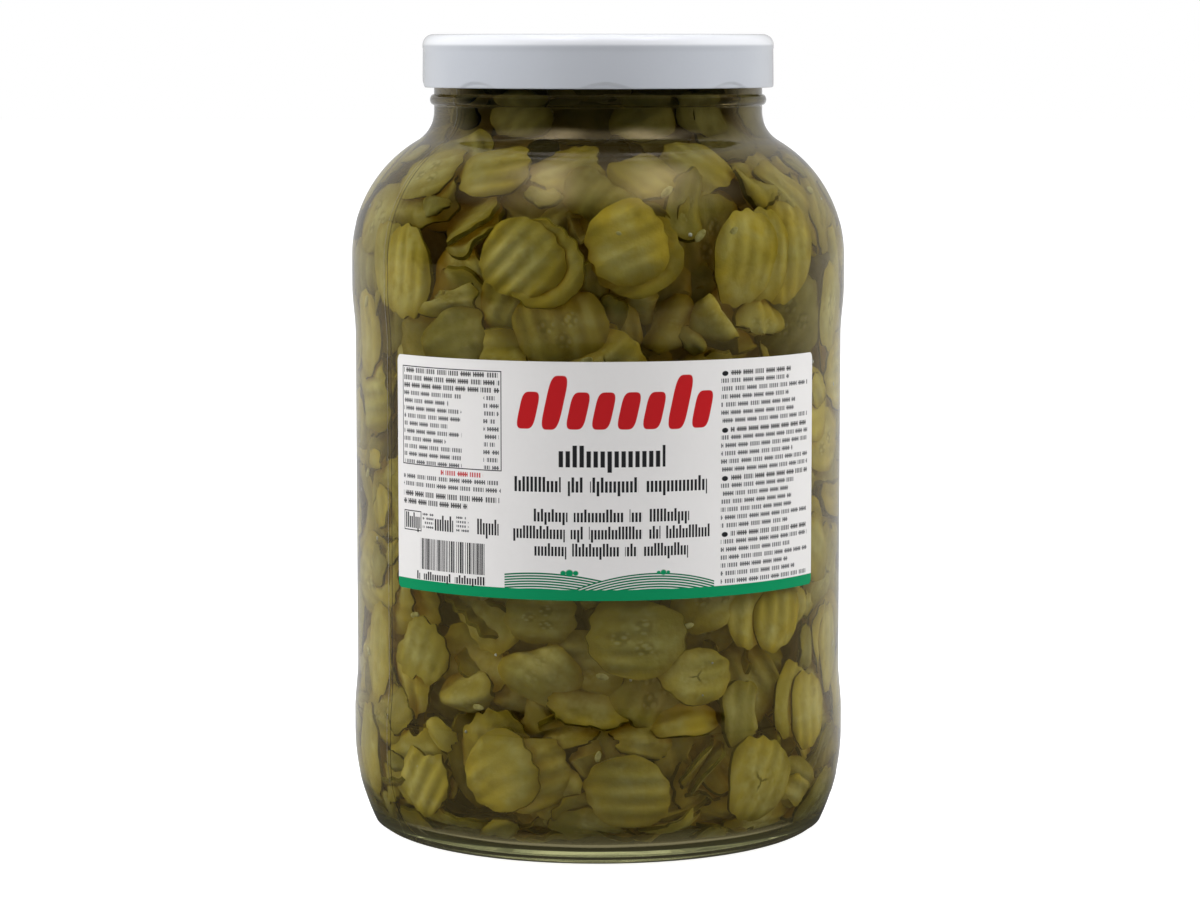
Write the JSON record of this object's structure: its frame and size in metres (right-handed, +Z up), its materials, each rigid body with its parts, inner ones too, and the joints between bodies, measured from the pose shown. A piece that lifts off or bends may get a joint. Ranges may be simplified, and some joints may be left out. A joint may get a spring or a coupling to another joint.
{
  "type": "pickle jar",
  "caption": "Large wide-mouth glass jar with a white twist-off metal lid and a wrap-round front label, full of brine and crinkle-cut pickle slices.",
  "frame": {"origin": "on the jar's axis, on the surface that the jar stands on", "axes": "+Z up along the jar's axis, the front with the label faces -Y, +X to the viewer's right"},
  "size_m": [0.157, 0.157, 0.2531],
  "materials": {
    "glass": "clear soda-lime container glass",
    "lid": "white lacquered steel sheet",
    "label": "white coated paper with printed fields",
    "brine": "cloudy yellow-green pickle brine"
  },
  "bodies": {
    "root": {"jar": "glass", "lid": "lid", "label": "label", "brine": "brine"}
  },
  "joints": []
}
